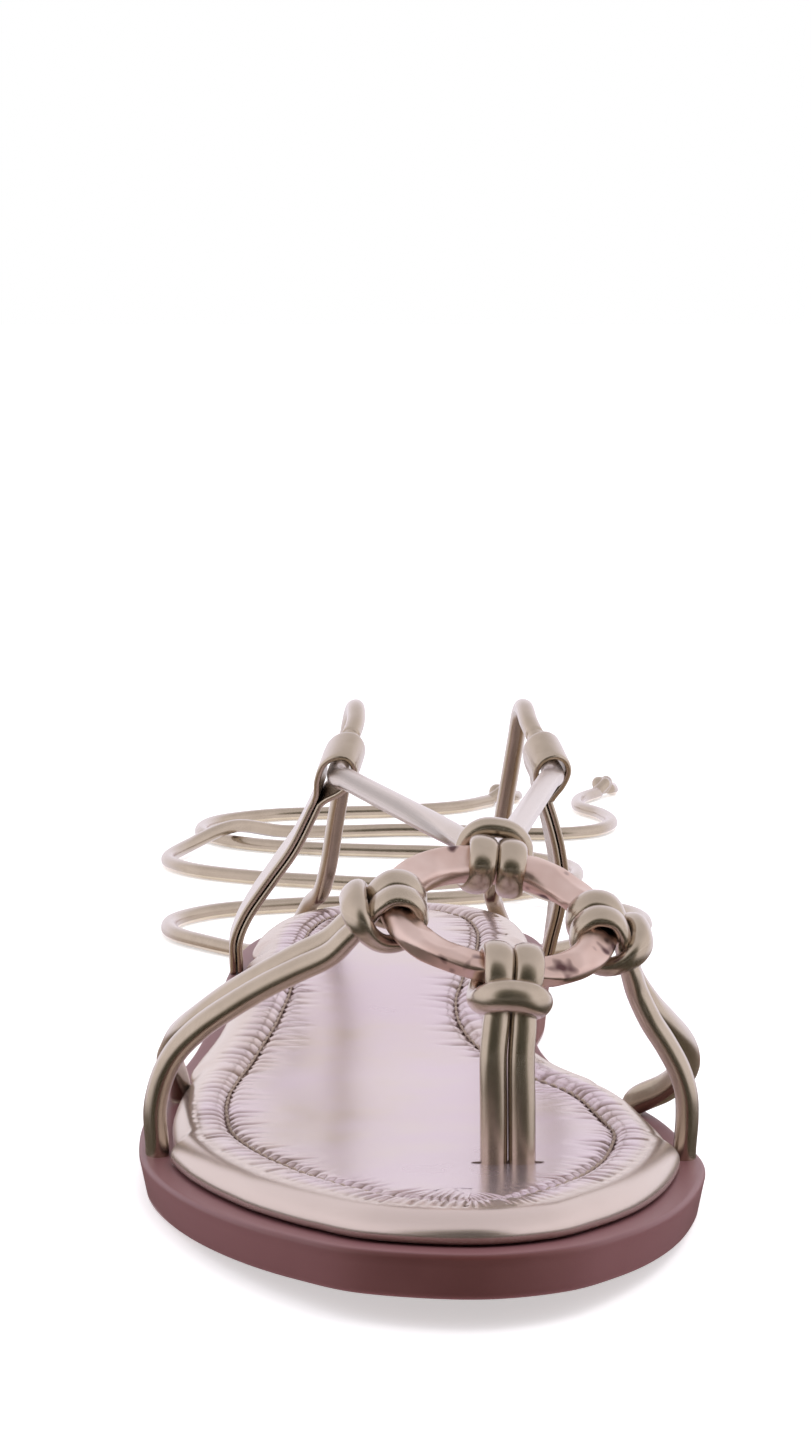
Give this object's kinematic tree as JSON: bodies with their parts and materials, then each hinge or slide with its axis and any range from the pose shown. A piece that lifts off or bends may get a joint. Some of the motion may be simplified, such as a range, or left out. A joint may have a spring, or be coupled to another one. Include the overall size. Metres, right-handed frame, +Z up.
{
  "type": "gladiator sandal",
  "caption": "A flat lace-up gladiator sandal for the right foot: padded footbed, rolled leather cords hitched on an instep ring, folded ankle loops, and free ties laid on the floor.",
  "frame": {"origin": "on the floor under the middle of the sole", "axes": "+X medial (big toe side), +Y towards the heel, +Z up, metres"},
  "size_m": [0.124, 0.5086, 0.0633],
  "materials": {
    "outsole_rubber": "matte, fine grained",
    "footbed_leather": "metallic coated, glossy",
    "cord_leather": "metallic coated, glossy",
    "ring_metal": "rose gold plated, polished, softly faceted"
  },
  "bodies": {
    "root": {"outsole": "outsole_rubber", "insole": "footbed_leather", "instep_ring": "ring_metal", "upper_toe_thong": "cord_leather", "upper_strap_lateral": "cord_leather", "upper_strap_medial": "cord_leather", "upper_ankle_loop_lateral": "cord_leather", "upper_ankle_loop_medial": "cord_leather", "upper_instep_lace": "cord_leather", "tie_lateral": "cord_leather", "tie_knot_lateral": "cord_leather", "tie_medial": "cord_leather", "tie_knot_medial": "cord_leather"}
  },
  "joints": []
}
